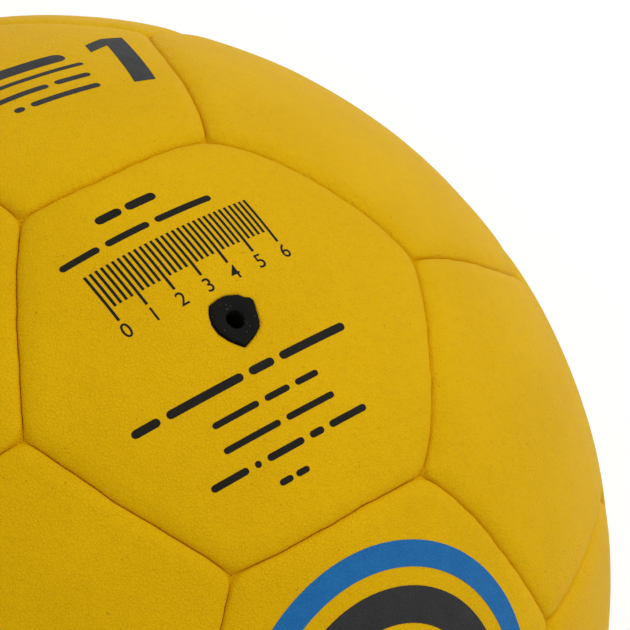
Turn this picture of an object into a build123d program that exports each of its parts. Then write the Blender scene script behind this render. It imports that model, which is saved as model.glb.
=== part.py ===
"""A size 1 handball, sewn from 20 hexagon and 12 pentagon panels over a bladder with a needle valve.

The origin is the middle of the ball. +Z runs out through the valve, and +X points over the middle
of one of the three pentagons round the valve panel. Millimetres.
"""
import os
from itertools import combinations
from math import asin, atan2, cos, degrees, isclose, pi, radians, sin, sqrt, tan

from build123d import *

# The whole ball
ball_circumference = 510.0

# Layers, from the outside in
cover_thickness = 2.0
lining_thickness = 1.2
valve_patch_thickness = 0.4
valve_flange_thickness = 0.8
bladder_thickness = 1.0
glue_line = 0.06
bladder_clearance = 0.2

# Panel form: the middle swells over the seams, and the edges turn in to be sewn
panel_crown = 0.35
shoulder_radius = 1.7
corner_ease = 0.7
seam_gap = 0.1
seam_flange_thickness = 1.4

# Stitching
stitch_count = 7
stitch_end_margin = 3.9
stitch_edge_distance = 1.4
thread_diameter = 0.8
thread_clearance = 0.1

# Valve
neck_radius = 3.9
neck_cut_radius = 0.4
neck_round_radius = 1.6
neck_stand = 0.4
neck_clearance = 0.15
column_shoulder = 1.2
column_clearance = 0.15
needle_bore_radius = 1.25
needle_bore_depth = 6.0
core_radius = 2.5
core_clearance = 0.05
core_head_lip = 1.5
core_head_thickness = 1.5
core_cone_depth = 0.7
slit_length = 2.2
slit_width = 0.12
boss_wall = 3.5
boss_length = 7.0
boss_edge_radius = 0.8
valve_flange_reach = 7.0
valve_patch_margin = 4.0

# The hand-trimmed outline of the neck: corner angles, and their reach as shares of neck_radius
neck_angles = (-75, -5, 53, 81, 159, 222)
neck_reach_shares = (1.07, 0.87, 1.10, 0.98, 0.99, 0.97)
neck_corner_radii = (neck_cut_radius,) * 5 + (neck_round_radius,)

# Distance of a panel's corners from the middle of the ball, in seam lengths
corner_reach = sqrt(58 + 18 * sqrt(5)) / 4

# Radii of the layers, measured from the middle of the ball
ball_radius = ball_circumference / (2 * pi)
cover_inside = ball_radius - cover_thickness
lining_outside = cover_inside - glue_line
lining_inside = lining_outside - lining_thickness
patch_outside = lining_inside - glue_line
patch_inside = patch_outside - valve_patch_thickness
flange_outside = patch_inside - glue_line
flange_inside = flange_outside - valve_flange_thickness
bladder_outside = flange_inside - glue_line
bladder_inside = bladder_outside - bladder_thickness
seam_tip = bladder_outside + bladder_clearance
stitch_circle = seam_tip + stitch_edge_distance

# Rounding of a panel's corners, which leaves room for the shoulder to run round them
corner_radius = shoulder_radius + corner_ease

# Stitches along a seam, and how far to each side of it the thread lies
seam_angle = 2 * degrees(asin(1 / (2 * corner_reach)))
stitch_span = seam_angle - 2 * degrees(stitch_end_margin / stitch_circle)
stitch_step = stitch_span / (stitch_count - 1)
thread_radius = thread_diameter / 2
stitch_hole_radius = thread_radius + thread_clearance
thread_side = seam_gap / 2 + seam_flange_thickness + thread_clearance + thread_radius
lining_edge = seam_flange_thickness + thread_diameter + 2 * thread_clearance

# Height above the middle of the ball where the space for a panel's layers starts
wedge_bottom = bladder_inside / 2

# Radii of the valve, each led by the piece that it holds or covers
column_radius = neck_radius * max(neck_reach_shares) + column_shoulder
core_head_radius = core_radius + core_head_lip
boss_radius = core_radius + boss_wall
valve_flange_radius = boss_radius + valve_flange_reach
valve_patch_radius = valve_flange_radius + valve_patch_margin

# Heights of the valve along +Z
neck_top = ball_radius + neck_stand
column_top = sqrt(cover_inside**2 - column_radius**2) - glue_line
bore_bottom = neck_top - needle_bore_depth
boss_bottom = bladder_inside - boss_length
core_top = bore_bottom - core_clearance
core_bottom = boss_bottom - core_clearance - core_head_thickness


# The net of panels: pentagons sit on the corners of an icosahedron, hexagons on its faces
golden = (1 + sqrt(5)) / 2
pentagon_cosine = 1 / sqrt(5)
hexagon_cosine = sqrt(5) / 3


def neighbours(axes, cosine, count):
    """Every group of count axes in which each two stand the same angle apart."""
    groups = []
    for group in combinations(axes, count):
        if all(isclose(one.dot(other), cosine, abs_tol=1e-6) for one, other in combinations(group, 2)):
            groups.append(group)
    return groups


def seat(axis, others):
    """The plane that a panel stands on: Z along its axis, X toward the nearest of the others."""
    toward = max(others, key=lambda other: round(other.dot(axis), 6))
    return Plane(origin=(0, 0, 0), x_dir=toward - axis * toward.dot(axis), z_dir=axis)


def downwards(axis):
    """Sorts axes from the valve down, and round the ball at each height."""
    return -round(axis.Z, 6), atan2(axis.Y, axis.X)


corner_axes = []
for short in (-1, 1):
    for long in (-golden, golden):
        corner_axes += [Vector(0, short, long), Vector(long, 0, short), Vector(short, long, 0)]
corner_axes = [axis.normalized() for axis in corner_axes]
face_axes = [sum(trio, Vector()).normalized() for trio in neighbours(corner_axes, pentagon_cosine, 3)]

# One hexagon is turned up to +Z, and becomes the valve panel
upright = seat(face_axes[0], corner_axes)
pentagon_axes = sorted((upright.to_local_coords(axis) for axis in corner_axes), key=downwards)
hexagon_axes = sorted((upright.to_local_coords(axis) for axis in face_axes), key=downwards)
hexagon_seats = [seat(axis, pentagon_axes) for axis in hexagon_axes]
pentagon_seats = [seat(axis, hexagon_axes) for axis in pentagon_axes]


def seam_slope(sides):
    """Run over rise of the seam planes round a panel, against the panel's own axis."""
    corner = 1 / (2 * sin(pi / sides))
    middle = 1 / (2 * tan(pi / sides))
    return middle / sqrt(corner_reach**2 - corner**2)


def flanks(sides):
    """The seam planes round a panel on +Z: X along the seam, Y out through its middle."""
    planes = []
    for number in range(sides):
        turn = 2 * pi * number / sides
        lean = (cos(turn), sin(turn), -seam_slope(sides))
        planes.append(Plane(origin=(0, 0, 0), x_dir=(-sin(turn), cos(turn), 0), z_dir=lean))
    return planes


# Seats of the seam threads, in the same planes as the panels' flanks
pentagon_seams = [
    pentagon_seat.location * flank.location for pentagon_seat in pentagon_seats for flank in flanks(5)
]
hexagon_seams = [
    Plane(origin=(0, 0, 0), x_dir=one.cross(other), z_dir=other - one).location
    for one, other in neighbours(hexagon_axes, hexagon_cosine, 2)
]


# Sketch of the valve's neck, used for the neck itself and for the hole that it comes out of
with BuildSketch() as neck_outline:
    with BuildLine():
        corners = [
            (neck_radius * reach * cos(radians(angle)), neck_radius * reach * sin(radians(angle)))
            for angle, reach in zip(neck_angles, neck_reach_shares)
        ]
        FilletPolyline(*corners, radius=neck_corner_radii, close=True)
    make_face()


def wedge(sides, inset):
    """The space between a panel's seam planes, each moved in by inset."""
    with BuildPart() as space:
        with Locations((0, 0, wedge_bottom)):
            Cylinder(ball_radius, ball_radius, align=(Align.CENTER, Align.CENTER, Align.MIN))
        for flank in flanks(sides):
            split(bisect_by=flank.offset(-inset), keep=Keep.BOTTOM)
    return space.part


def panel(sides):
    """A cover panel on +Z: a crowned tray, its rim rounded over into punched seam flanges."""
    rise = 1 / sqrt(1 + seam_slope(sides) ** 2)
    rim = ball_radius - panel_crown
    dome_middle = (ball_radius**2 - rim**2) / (2 * (ball_radius - rim * rise))
    outer_wedge = wedge(sides, seam_gap / 2)
    inner_wedge = wedge(sides, seam_gap / 2 + seam_flange_thickness)

    with BuildPart() as hollow:
        add(inner_wedge)
        Sphere(cover_inside, mode=Mode.INTERSECT)

    with BuildPart() as tray:
        add(outer_wedge)
        corners = tray.edges().filter_by(GeomType.LINE).filter_by(Plane.XY, reverse=True)
        fillet(corners, corner_radius)
        Sphere(seam_tip, mode=Mode.SUBTRACT)
        with Locations((0, 0, dome_middle)):
            Sphere(ball_radius - dome_middle, mode=Mode.INTERSECT)
        fillet(tray.faces().sort_by(Axis.Z)[-1].edges(), shoulder_radius)
        add(hollow.part, mode=Mode.SUBTRACT)
        with BuildSketch(*flanks(sides)):
            with PolarLocations(
                stitch_circle, stitch_count, 90 - stitch_span / 2, stitch_span, endpoint=True
            ):
                Circle(stitch_hole_radius)
        extrude(amount=seam_flange_thickness + seam_gap, both=True, mode=Mode.SUBTRACT)
    return tray.part


def lining(sides):
    """The cloth behind a cover panel, cut short of the stitches."""
    lining_wedge = wedge(sides, seam_gap / 2 + lining_edge)
    with BuildPart() as cloth:
        add(lining_wedge)
        Sphere(lining_outside, mode=Mode.INTERSECT)
        Sphere(lining_inside, mode=Mode.SUBTRACT)
    return cloth.part


def thread():
    """One seam's running stitch, in the plane of the seam: through a hole, along, and back."""
    route = []
    for number in range(stitch_count):
        angle = radians(stitch_step * number - stitch_span / 2)
        side = thread_side if number % 2 else -thread_side
        across_at = [stitch_circle * sin(angle), stitch_circle * cos(angle)]
        route += [(*across_at, side), (*across_at, -side)]
    with BuildPart() as stitches:
        with BuildLine() as path:
            Polyline(*route)
        with BuildSketch(Plane(origin=path.line @ 0, z_dir=path.line % 0)):
            Circle(thread_radius)
        sweep(transition=Transition.RIGHT)
    return stitches.part


def placed(piece, seats, label):
    """Copies of a piece on its seats, as one named node."""
    with BuildPart() as node:
        with Locations(*seats):
            add(piece, clean=False)
    node.part.label = label
    export_step(node.part, f"parts/{label}.step")


os.makedirs("parts", exist_ok=True)

# Cover panels, each a node of its own, numbered from the valve downwards
hexagon_panel = panel(6)
pentagon_panel = panel(5)
for number, hexagon_seat in enumerate(hexagon_seats[1:], start=1):
    placed(hexagon_panel, [hexagon_seat], f"hexagon_panel_{number:02d}")
for number, pentagon_seat in enumerate(pentagon_seats, start=1):
    placed(pentagon_panel, [pentagon_seat], f"pentagon_panel_{number:02d}")

with BuildPart() as valve_panel:
    with Locations(hexagon_seats[0]):
        add(hexagon_panel)
    with BuildSketch(Plane.XY.offset(bladder_inside)):
        add(neck_outline.sketch)
        offset(amount=neck_clearance)
    extrude(until=Until.LAST, mode=Mode.SUBTRACT)
valve_panel.part.label = "valve_panel"
export_step(valve_panel.part, "parts/valve_panel.step")

# Linings behind the panels
hexagon_lining = lining(6)
placed(hexagon_lining, hexagon_seats[1:], "hexagon_linings")
placed(lining(5), pentagon_seats, "pentagon_linings")

with BuildPart() as valve_panel_lining:
    with Locations(hexagon_seats[0]):
        add(hexagon_lining)
    with Locations((0, 0, lining_outside)):
        Hole(column_radius + column_clearance)
valve_panel_lining.part.label = "valve_panel_lining"
export_step(valve_panel_lining.part, "parts/valve_panel_lining.step")

# Seam threads, one run of stitches to a seam
stitches = thread()
placed(stitches, hexagon_seams, "hexagon_seam_threads")
placed(stitches, pentagon_seams, "pentagon_seam_threads")

# Bladder, open where the valve is bonded in
with BuildPart() as bladder:
    Sphere(bladder_outside)
    Sphere(bladder_inside, mode=Mode.SUBTRACT)
    with Locations((0, 0, bladder_outside)):
        Hole(boss_radius + glue_line, bladder_outside)
bladder.part.label = "bladder"
export_step(bladder.part, "parts/bladder.step")

# Cloth patch that backs the valve hole
with BuildPart() as valve_patch:
    with BuildSketch(Plane.XZ):
        Circle(patch_outside)
        Circle(patch_inside, mode=Mode.SUBTRACT)
        Rectangle(valve_patch_radius, ball_radius, align=Align.MIN, mode=Mode.INTERSECT)
        Rectangle(column_radius + column_clearance, ball_radius, align=Align.MIN, mode=Mode.SUBTRACT)
    revolve(axis=Axis.Z)
valve_patch.part.label = "valve_patch"
export_step(valve_patch.part, "parts/valve_patch.step")

# Valve body: a flange bonded to the bladder, a column up to the cover, the trimmed neck that shows,
# and a boss inside the bladder that holds the core
with BuildPart() as valve_body:
    with BuildSketch(Plane.XZ):
        Circle(flange_outside)
        Circle(flange_inside, mode=Mode.SUBTRACT)
        Rectangle(valve_flange_radius, ball_radius, align=Align.MIN, mode=Mode.INTERSECT)
        with Locations((0, boss_bottom)):
            Rectangle(boss_radius, flange_inside - boss_bottom, align=Align.MIN)
            Rectangle(column_radius, column_top - boss_bottom, align=Align.MIN)
    revolve(axis=Axis.Z)
    fillet(valve_body.edges().sort_by(Axis.Z)[0], boss_edge_radius)
    with BuildSketch(Plane.XY.offset(flange_inside)):
        add(neck_outline.sketch)
    extrude(amount=neck_top - flange_inside)
    with Locations((0, 0, neck_top)):
        Hole(needle_bore_radius, needle_bore_depth)
    with Locations(Plane(origin=(0, 0, boss_bottom), z_dir=(0, 0, -1))):
        Hole(core_radius, bore_bottom - boss_bottom)
valve_body.part.label = "valve_body"
export_step(valve_body.part, "parts/valve_body.step")

# Core: a self-closing plug, slit for the needle, pushed into the boss from inside
with BuildPart() as valve_core:
    with BuildSketch(Plane.XZ):
        with Locations((0, core_bottom)):
            Rectangle(core_head_radius, core_head_thickness, align=Align.MIN)
            Rectangle(core_radius - core_clearance, core_top - core_bottom, align=Align.MIN)
    revolve(axis=Axis.Z)
    with Locations((0, 0, core_top)):
        Cone(
            0,
            needle_bore_radius,
            core_cone_depth,
            align=(Align.CENTER, Align.CENTER, Align.MAX),
            mode=Mode.SUBTRACT,
        )
    with BuildSketch(Plane.XY.offset(core_bottom)):
        Rectangle(slit_length, slit_width)
    extrude(amount=core_top - core_bottom, mode=Mode.SUBTRACT)
valve_core.part.label = "valve_core"
export_step(valve_core.part, "parts/valve_core.step")
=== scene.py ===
from itertools import permutations
from math import atan2, cos, pi, radians, sin, sqrt, tan

import bpy
import numpy as np
from mathutils import Euler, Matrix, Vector, noise


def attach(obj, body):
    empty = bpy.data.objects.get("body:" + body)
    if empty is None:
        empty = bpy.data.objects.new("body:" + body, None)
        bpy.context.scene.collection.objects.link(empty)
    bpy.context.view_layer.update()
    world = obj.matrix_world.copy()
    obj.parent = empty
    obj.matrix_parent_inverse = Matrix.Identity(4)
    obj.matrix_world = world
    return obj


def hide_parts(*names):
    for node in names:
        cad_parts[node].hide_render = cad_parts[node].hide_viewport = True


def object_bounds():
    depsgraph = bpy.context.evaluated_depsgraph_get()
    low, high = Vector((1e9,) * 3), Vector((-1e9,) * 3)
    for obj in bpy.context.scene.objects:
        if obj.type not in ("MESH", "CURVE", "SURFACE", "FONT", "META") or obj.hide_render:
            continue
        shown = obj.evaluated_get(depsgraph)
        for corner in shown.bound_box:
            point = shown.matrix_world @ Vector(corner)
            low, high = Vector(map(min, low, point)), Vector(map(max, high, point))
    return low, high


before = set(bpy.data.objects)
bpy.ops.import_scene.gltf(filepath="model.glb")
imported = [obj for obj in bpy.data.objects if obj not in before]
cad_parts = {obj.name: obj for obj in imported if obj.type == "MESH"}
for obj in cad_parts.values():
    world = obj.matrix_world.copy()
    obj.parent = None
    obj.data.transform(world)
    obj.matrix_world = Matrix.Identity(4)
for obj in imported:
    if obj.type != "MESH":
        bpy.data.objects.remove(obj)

# Metres. The ball's middle is the frame's origin, and its valve points along +Z.
MM = 0.001
cad_low, cad_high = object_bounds()
BALL_RADIUS = -cad_low.z
NECK_TOP = cad_high.z
VALVE_WAY = np.array([0.0, 0.0, 1.0])
SMOOTH_ANGLE = radians(40)
ROUND_POINTS = 96

# Camera, fitted to the ball's outline, the valve hole and the seams round it.
PHOTO_SIDE = 630
SENSOR_WIDTH = 36
CAMERA_LENS = 300.83
CAMERA_PLACE = BALL_RADIUS * Vector((-2.68946, -4.03024, 8.08109))
CAMERA_TURN = Euler((radians(29.20909), radians(-20.09927), radians(-3.31231)))

# Where seams meet in the photograph, in its pixels. The sewing puts them a little off the even net.
# The first six are the corners of the valve panel.
SEAM_MEETINGS = {
    "top": (208.5, 141),
    "right_upper": (413.5, 258.5),
    "right_lower": (422.5, 475),
    "bottom": (231.5, 575.5),
    "left_lower": (23.5, 440.5),
    "left_upper": (21, 219.5),
    "above_top": (148, 32.5),
    "left_of_above_top": (-102, 40),
    "beyond_right_lower": (549, 622.5),
    "beyond_right_upper": (519.5, 275),
    "right_rim": (602.5, 496),
}
# Pixels that the seams between those meetings pass through, because sewn seams bow.
SEAM_WAYS = {
    ("top", "right_upper"): ((266, 157), (320, 184), (369, 217)),
    ("right_upper", "right_lower"): ((426, 309), (431, 362), (432, 419)),
    ("bottom", "left_lower"): ((181, 542), (127, 510), (75, 475)),
    ("left_lower", "left_upper"): ((20, 381), (17, 323), (17, 270)),
    ("left_upper", "top"): ((70, 194), (117, 172), (162, 152)),
    ("top", "above_top"): ((198, 106), (182, 77), (165, 54)),
    ("right_upper", "beyond_right_upper"): ((447, 257), (477, 262), (501, 269)),
    ("right_lower", "beyond_right_lower"): ((463, 505), (496, 542), (524, 580)),
    ("beyond_right_lower", "right_rim"): ((570, 592), (586, 559), (597, 529)),
}
HALF_WAVES = (1, 2, 3)
# The meeting at the rim is tucked behind it, and the seams that run on from there are drawn in less.
SHALLOW_FROM = "right_rim"
SHALLOW_SHARE = 0.1
RIM_TUCK = 0.03
GROOVE_DEPTH = 1.4 * MM
# Cosine that only the axes of neighbouring pentagons pass.
NEIGHBOUR_COSINE = 0.4
SETTLE_STEPS = 80
SETTLE_SHARE = 0.25
# How seams differ from each other where the photograph doesn't say.
LOOSE_BOW = 0.35 * MM
SECOND_BOW_SHARE = 0.6
PULL_SPREAD = 0.08
# Strides that give each seam a phase of its own, and how fast its pull and its two bows turn with it.
LOW_STRIDE = 37
HIGH_STRIDE = 91
PULL_TURNS = 7
BOW_TURNS = 3
SECOND_BOW_TURNS = 5

# Cover panels.
PANEL_ROWS = 42
BLANK_FOLD = 1.0
TURN_SLACK = 1e-6
EDGE_RADIUS = 0.55 * MM
SHOULDER_DEPTH = 0.8 * MM
SHOULDER_WIDTH = 3.3 * MM
SHOULDER_POWER = 2.2
CORNER_EASE = 0.60 * MM
PANEL_CROWN = 0.14 * MM
PANEL_STAND = 0.12 * MM
SEAM_GAP = 0.03 * MM
SEAM_GAP_REACH = 0.3 * MM
FOLD_DEPTH = 4.4 * MM
COVER_THICKNESS = 1.2 * MM
BOW_REACH = 9.0 * MM
STITCH_PITCH = 4.2 * MM
STITCH_END_POWER = 0.7
PUCKER_DEPTH = 0.08 * MM
PUCKER_REACH = 1.6 * MM
SEAM_SWAY = 0.055 * MM
SEAM_SWAY_REACH = 3.0 * MM
SLOW_SWAY_PITCH = 2.3 * STITCH_PITCH
QUICK_SWAY_SHARE = 0.6
SWELL_HEIGHT = 0.07 * MM
SWELL_SIZE = 9.0 * MM
# A finer swell lies over the first. This share serves its size and its height.
FINE_SWELL_SHARE = 0.35
FINE_SWELL_SHIFT = 7
# In the pattern of gathers, each side of a panel starts this many mm after the last.
SIDE_STRIDE = 40

# Hole of the valve panel.
HOLE_REACH = 12 / PANEL_ROWS
HOLE_SLACK = 1e-4
HOLE_EASE = 0.35 * MM
NECK_GAP = 0.10 * MM

# Layers under the cover, where their solids are, from the ball's radius to the micrometre.
COVER_WALL = 2.0 * MM
GLUE_LINE = 0.06 * MM
LINING_THICKNESS = 1.2 * MM
PATCH_THICKNESS = 0.4 * MM
FLANGE_THICKNESS = 0.8 * MM
BLADDER_THICKNESS = 1.0 * MM
LINING_RADIUS = round(BALL_RADIUS, 6) - COVER_WALL - GLUE_LINE
PATCH_RADIUS = LINING_RADIUS - LINING_THICKNESS - GLUE_LINE
FLANGE_RADIUS = PATCH_RADIUS - PATCH_THICKNESS - GLUE_LINE
FLANGE_UNDERSIDE = FLANGE_RADIUS - FLANGE_THICKNESS
BLADDER_RADIUS = FLANGE_UNDERSIDE - GLUE_LINE

# Valve neck, trimmed by hand: its top edge as the photograph shows it, in pixels, from its left corner.
NECK_EDGE = (
    (211, 305), (220, 298), (227, 295), (238, 294), (245, 297), (250, 297), (254, 300), (260, 321),
    (260, 325), (255, 334), (246, 345), (238, 342), (229, 338), (220, 332), (214, 324), (211, 314),
)
NECK_POINTS = 180
NECK_BLUNT = 1.2
NECK_EASE = 0.16 * MM
NECK_UNEVEN = 0.06 * MM
NECK_WAVES = 2.5
# A ring of the neck's top, this share of the way from the bore to the edge, lies a little lower.
TOP_RING_SHARE = 0.55
TOP_RING_DIP = 0.03 * MM
# Needle bore, and its worn mouth as distances from its wall and from the neck's top, in mm.
BORE_RADIUS = 1.25 * MM
BORE_BOTTOM = NECK_TOP - 6.0 * MM
BORE_MOUTH = ((0.32, 0.05), (0.12, 0.12), (0.02, 0.32), (0.0, 0.6))
# The rest of the valve body.
CORE_SEAT = 2.5 * MM
BOSS_RADIUS = 6.0 * MM
BOSS_EDGE = 0.8 * MM
BOSS_BOTTOM = BLADDER_RADIUS - BLADDER_THICKNESS - 7.0 * MM
FLANGE_REACH = 13.0 * MM
FLANGE_EASE = 0.2 * MM
FLANGE_RIM_HEIGHT = 75.9 * MM
COLUMN_RADIUS = 5.49 * MM
COLUMN_TOP = 79.0 * MM
COLUMN_HOLE = COLUMN_RADIUS + 0.15 * MM
BOSS_HOLE = BOSS_RADIUS + GLUE_LINE
# The middles of these two rounded edges lie this far inside their corners.
BOSS_ROUND = 0.23 * MM
NECK_ROUND = 0.05 * MM

# Cloth linings and the valve patch.
LINING_INSET = 2.4 * MM
LINING_ROWS = 10
LINING_HOLE_REACH = 2 / LINING_ROWS
PATCH_REACH = 17.0 * MM
PATCH_RINGS = 9
FRAY_DEPTH = 0.15 * MM
FRAY_WAVES = 9
FRAY_POWER = 8

# Seam threads.
THREAD_CIRCLE = BLADDER_RADIUS + 1.6 * MM
THREAD_RADIUS = 0.4 * MM
THREAD_SIDE = 1.75 * MM
THREAD_TAIL = 1.5 * MM
THREAD_WELD = 0.001 * MM
STITCH_HOLES = 7
STITCH_MARGIN = 3.9 * MM

# Bladder. Round the valve it is bonded, and doesn't sag.
BLADDER_SAG = 0.06 * MM
BLADDER_SAG_SIZE = 16 * MM
BLADDER_BOND_REACH = 24 * MM

# Printed marks, drawn flat in mm and then laid on the cover.
MARK_START = 0.6 * MM
MARK_STAND = 0.03 * MM
MARK_FILM = 0.02 * MM
MARK_STEP = 1.0
ROUNDED_ROWS = 8
ROUNDED_SHARE = 0.999
RING_POINTS = 144
FIGURE_SHARE = 0.69
FIGURE_OFFSET = 0.012
# A plain scale above the valve.
TICKS = 31
TICK_STEP = 0.92
TICK_WIDTH = 0.42
LONG_TICK_EVERY = 5
LONG_TICK = 7.8
SHORT_TICK = 5.8
FIGURE_HEIGHT = 2.1
FIGURE_LOW = -10.5
# Plain dashes, each row as its low edge, height, left end, gap and the dashes' widths.
UPPER_DASHES = ((0.0, 1.0, 0.0, 1.1, (6.4, 7.2, 9.6)), (3.6, 1.3, 8.6, 0.8, (4.2, 5.0)))
LOWER_DASHES = (
    (0.0, 1.2, 0.0, 1.1, (4.4, 12.4, 4.2, 12.0)),
    (-4.0, 0.9, 10.2, 1.1, (7.6, 4.2, 4.0)),
    (-7.6, 0.9, 9.8, 1.1, (9.4, 8.4)),
    (-11.2, 1.0, 5.6, 1.1, (6.0, 1.0, 6.2, 2.4, 6.8)),
    (-14.8, 0.9, 14.6, 0.6, (2.2, 2.2)),
)
SIZE_DASHES = ((3.8, 1.1, -20.0, 1.1, (8.6, 5.8)), (0.6, 1.1, -18.9, 1.1, (1.6, 11.2)))
# A plain size numeral and the rules beside it, each bar as left end, low edge, width and height.
NUMERAL_STEM = (0.0, 0.0, 3.6, 14.8)
NUMERAL_FLAG = (-3.4, 10.4, 3.4, 2.7)
NUMERAL_LEAN = 0.31
FLAG_RISE = 0.5
SIZE_RULES = ((-20.5, 9.6, 16.0, 2.4), (-24.0, 7.1, 20.5, 0.9))
# Two rings, each as radius and width.
OUTER_RING = (22.0, 3.6)
INNER_RING = (14.5, 5.0)
# Pixels that each print starts from and runs towards.
SCALE_LINE = ((84, 278), (262, 194))
UPPER_LINE = ((62, 274), (262, 183))
LOWER_LINE = ((134, 441), (390, 309))
SIZE_LINE = ((134.5, 82.5), (158, 79))
RING_LINE = ((401, 730), (460, 700))

# Colours as seen on screen, 0 to 255, most of them as a dark and a light tone.
COVER_TONES = ((218, 170, 0), (223, 175, 1))
# Painted shade: darker tones laid into the grain's creases and pores.
CREASE_SHADE_TONE = (170, 118, 0)
PORE_SHADE_TONE = (150, 105, 10)
# Painted light: a lighter yellow laid into the seam grooves, in place of light bounced inside them.
SEAM_GROOVE_LIGHT_TONE = (240, 186, 4)
VALVE_TONES = ((12, 12, 11), (22, 22, 20))
BLADDER_TONES = ((52, 52, 51), (68, 68, 66))
DUST_TONE = (96, 96, 92)
LINING_TONES = ((200, 197, 188), (236, 234, 226))
PATCH_TONES = ((190, 187, 178), (228, 225, 216))
THREAD_TONES = ((200, 190, 146), (234, 224, 182))
BLACK_TONES = ((22, 20, 14), (32, 30, 24))
CHARCOAL_TONES = ((44, 44, 45), (54, 54, 55))
BLUE_TONES = ((22, 98, 160), (34, 110, 172))

# Depths of the fine relief, and the size of the grain and pitches of the weaves in mm.
GRAIN_CELL = 0.55
GRAIN_DEPTH = 0.155 * MM
GATHER_DEPTH = 0.14 * MM
PIT_DEPTH = 0.08 * MM
WEAVE_DEPTH = 0.1 * MM
INK_DEPTH = 0.12 * MM
LINING_PITCH = 0.6
PATCH_PITCH = 0.45
THREAD_PITCH = 0.2
# Length of one wave of the wave texture at scale 1.
WAVE_LENGTH = 0.314

# Floor and light.
FLOOR_SIDE = 6
FLOOR_COLOUR = (0.86, 0.86, 0.86, 1)
FLOOR_GLOW = 0.2
WHITE = (1, 1, 1, 1)
WORLD_LIGHT = 0.738
SOFTBOX_WAY = (0.4, 0.45, 0.85)
SOFTBOX_DISTANCE = 1.4
SOFTBOX_SIDE = 1.2
SOFTBOX_POWER = 6.7


# What the pieces share.

def unit(rows):
    return rows / np.linalg.norm(rows, axis=-1, keepdims=True)


def clear_selection():
    if bpy.context.object and bpy.context.object.mode != "OBJECT":
        leave_edit()
    bpy.ops.object.select_all(action="DESELECT")


def take(piece):
    clear_selection()
    piece.select_set(True)
    bpy.context.view_layer.objects.active = piece


def added(operator, **settings):
    """The object that an operator adds."""
    clear_selection()
    operator(**settings)
    return bpy.context.active_object


def edit(selection, kind="EDGE"):
    """Starts to edit the active mesh by its edges or faces, with all of them selected or none."""
    bpy.ops.object.mode_set(mode="EDIT")
    bpy.ops.mesh.select_mode(type=kind)
    bpy.ops.mesh.select_all(action=selection)


def leave_edit():
    bpy.ops.object.mode_set(mode="OBJECT")


def points_of(mesh):
    flat = np.empty(len(mesh.vertices) * 3)
    mesh.vertices.foreach_get("co", flat)
    return flat.reshape(-1, 3)


def set_points(mesh, points):
    mesh.vertices.foreach_set("co", np.ascontiguousarray(points).ravel())
    mesh.update()


def copy_of(blank, name):
    piece = blank.copy()
    piece.data = blank.data.copy()
    piece.name = piece.data.name = name
    bpy.context.scene.collection.objects.link(piece)
    return piece


def join(pieces, name):
    clear_selection()
    for piece in pieces:
        piece.select_set(True)
    bpy.context.view_layer.objects.active = pieces[0]
    if len(pieces) > 1:
        bpy.ops.object.join()
    joined = bpy.context.active_object
    joined.name = joined.data.name = name
    return joined


def turn_faces_out(piece):
    take(piece)
    edit("SELECT")
    bpy.ops.mesh.normals_make_consistent(inside=False)
    leave_edit()


def open_hole(piece, inside):
    """Takes out every face that has a point inside the hole."""
    take(piece)
    edit("DESELECT", "FACE")
    leave_edit()
    for face in piece.data.polygons:
        face.select = any(inside[v] for v in face.vertices)
    bpy.ops.object.mode_set(mode="EDIT")
    bpy.ops.mesh.delete(type="FACE")
    leave_edit()


def thicken(piece, thickness):
    """Gives a sheet its thickness, inwards."""
    take(piece)
    wall = piece.modifiers.new("thickness", "SOLIDIFY")
    wall.thickness = thickness
    wall.offset = -1
    bpy.ops.object.modifier_apply(modifier=wall.name)


def smooth_by_angle():
    bpy.ops.object.shade_smooth_by_angle(angle=SMOOTH_ANGLE)


def dress(piece, material):
    piece.data.materials.clear()
    piece.data.materials.append(material)


def enrol(piece, material, node=None):
    """Gives a piece its material and body, and hides the solid that it stands for, if there is one."""
    dress(piece, material)
    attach(piece, "root")
    if node:
        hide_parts(node)


# The camera, and what its pixels show.

def add_camera():
    camera = added(bpy.ops.object.camera_add, location=CAMERA_PLACE, rotation=CAMERA_TURN)
    camera.name = "photo_camera"
    camera.data.sensor_width = SENSOR_WIDTH
    camera.data.lens = CAMERA_LENS
    bpy.context.scene.camera = camera


def photo_ray(pixel):
    """The way from the camera through that pixel of the photograph."""
    focal = CAMERA_LENS / SENSOR_WIDTH * PHOTO_SIDE
    half = PHOTO_SIDE / 2
    ray = Vector(((pixel[0] - half) / focal, (half - pixel[1]) / focal, -1)).normalized()
    ray.rotate(CAMERA_TURN)
    return ray


def on_ball(pixel, radius):
    """The point of a sphere round the ball's middle that the photograph shows at that pixel."""
    ray = photo_ray(pixel)
    along = -CAMERA_PLACE.dot(ray)
    miss = CAMERA_PLACE.length_squared - along * along
    return CAMERA_PLACE + ray * (along - sqrt(max(radius * radius - miss, 0)))


def in_groove(pixel):
    """The way to the floor of a groove seen at that pixel. A slanting view sees less deep."""
    top = on_ball(pixel, BALL_RADIUS)
    facing = top.normalized().dot((CAMERA_PLACE - top).normalized())
    return unit(np.array(on_ball(pixel, BALL_RADIUS - GROOVE_DEPTH * facing)))


# The net of seams.

def pentagon_axes():
    axes = []
    for turn in (0, 120, 240):
        for reach, start in ((3 - sqrt(5), 0), (3 + sqrt(5), 60)):
            angle = radians(turn + start)
            axis = unit(np.array([reach * cos(angle), reach * sin(angle), 1.0]))
            axes += [axis, -axis]
    return axes


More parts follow.
